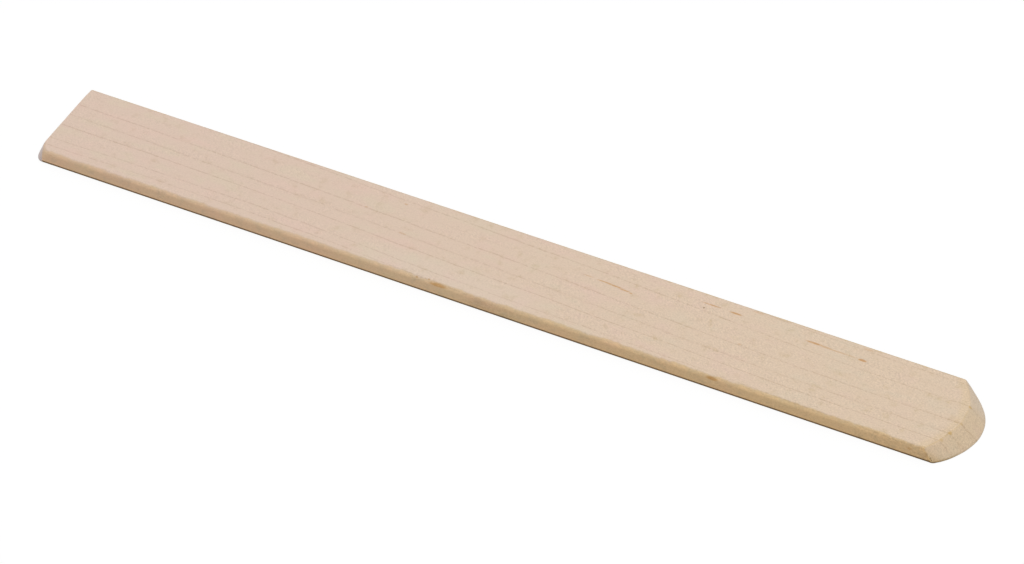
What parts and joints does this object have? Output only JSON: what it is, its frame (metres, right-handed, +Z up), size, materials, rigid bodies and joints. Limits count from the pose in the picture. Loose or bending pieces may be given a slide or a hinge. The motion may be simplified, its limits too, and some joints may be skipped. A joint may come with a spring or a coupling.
{
  "type": "pick-up stick",
  "caption": "Flat wooden weaving stick with a slightly leaning butt and a rounded, bevelled tip, slid under raised warp threads and turned on edge to open a shed.",
  "frame": {"origin": "centre of the underside, halfway along the stick and halfway across it", "axes": "+X along the stick towards the bevelled tip, +Y across the flat face, +Z up through the thickness to the bevelled face"},
  "size_m": [0.3, 0.032, 0.005],
  "materials": {
    "maple": "smooth sanded, unvarnished"
  },
  "bodies": {
    "root": {"stick": "maple"}
  },
  "joints": []
}
